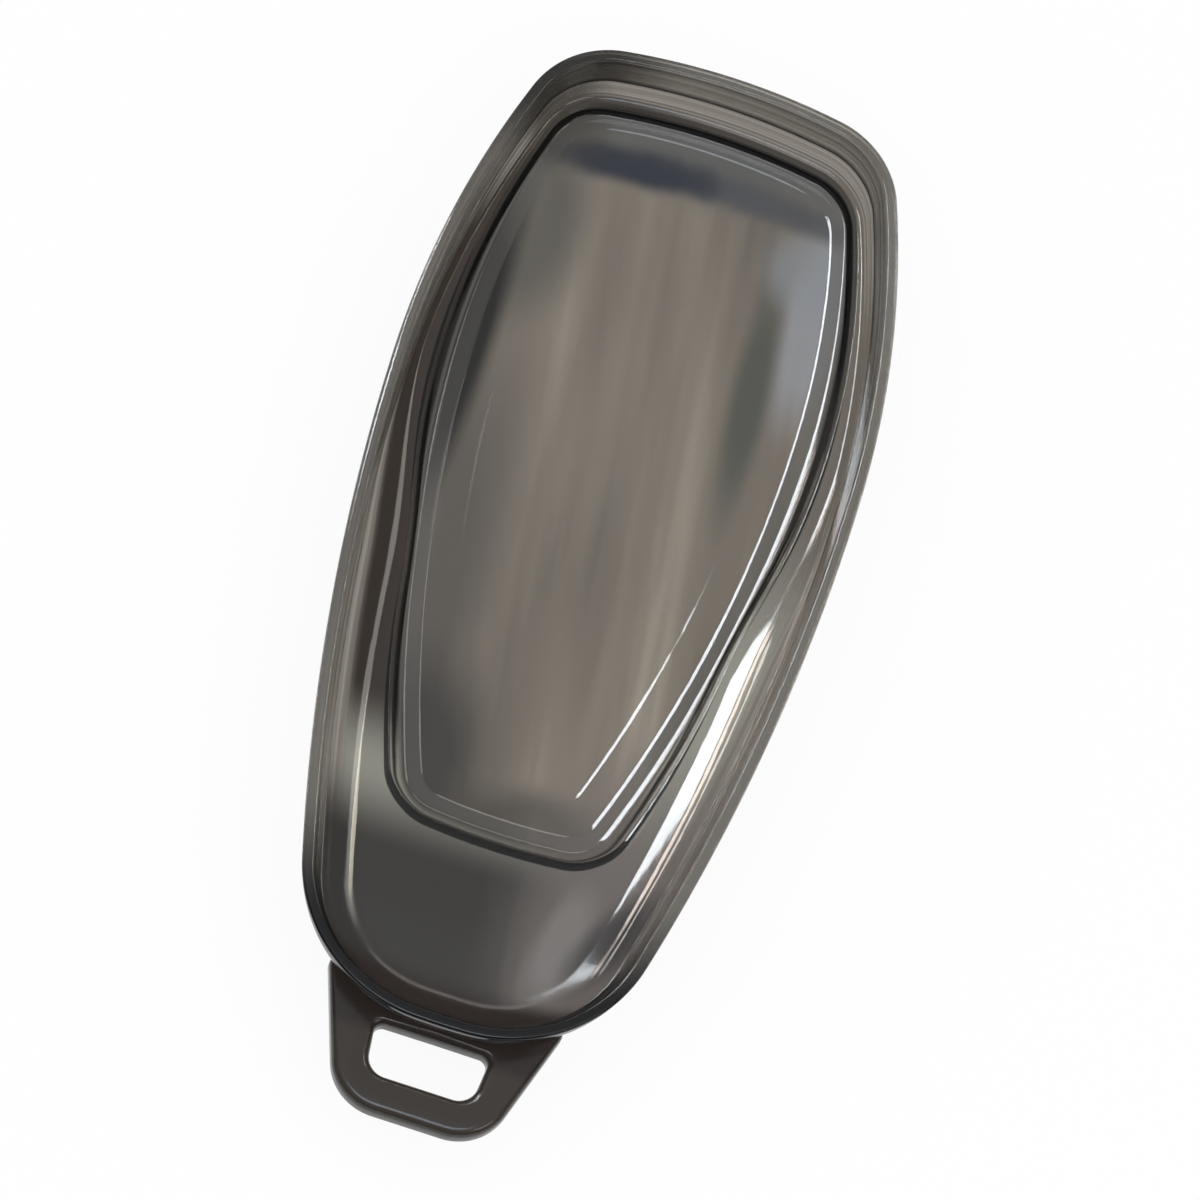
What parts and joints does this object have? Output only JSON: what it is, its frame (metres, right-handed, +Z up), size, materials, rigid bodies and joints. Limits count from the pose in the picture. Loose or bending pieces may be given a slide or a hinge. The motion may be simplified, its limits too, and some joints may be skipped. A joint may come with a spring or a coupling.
{
  "type": "key fob cover",
  "caption": "Slim key fob cover: a smoky transparent tray with a raised back panel and a moulded keyring loop, closed round its rim by a thin lift-off frame.",
  "frame": {"origin": "under the middle of the whole part, loop included, on the plane of the back panel's outer face", "axes": "+Y along the length towards the wide end, the keyring loop at -Y, +X across, +Z up out of the open side"},
  "size_m": [0.042, 0.0996, 0.0085],
  "materials": {
    "smoky_shell": "glossy smoky grey-brown transparent moulding",
    "smoky_frame": "glossy smoky grey-brown transparent moulding"
  },
  "bodies": {
    "back_shell": {"back_shell": "smoky_shell"},
    "front_frame": {"front_frame": "smoky_frame"}
  },
  "joints": [
    {"name": "frame_lift", "type": "slide", "parent": "back_shell", "child": "front_frame", "axis": [0, 0, 1], "range_m": [0, 0.015]}
  ]
}
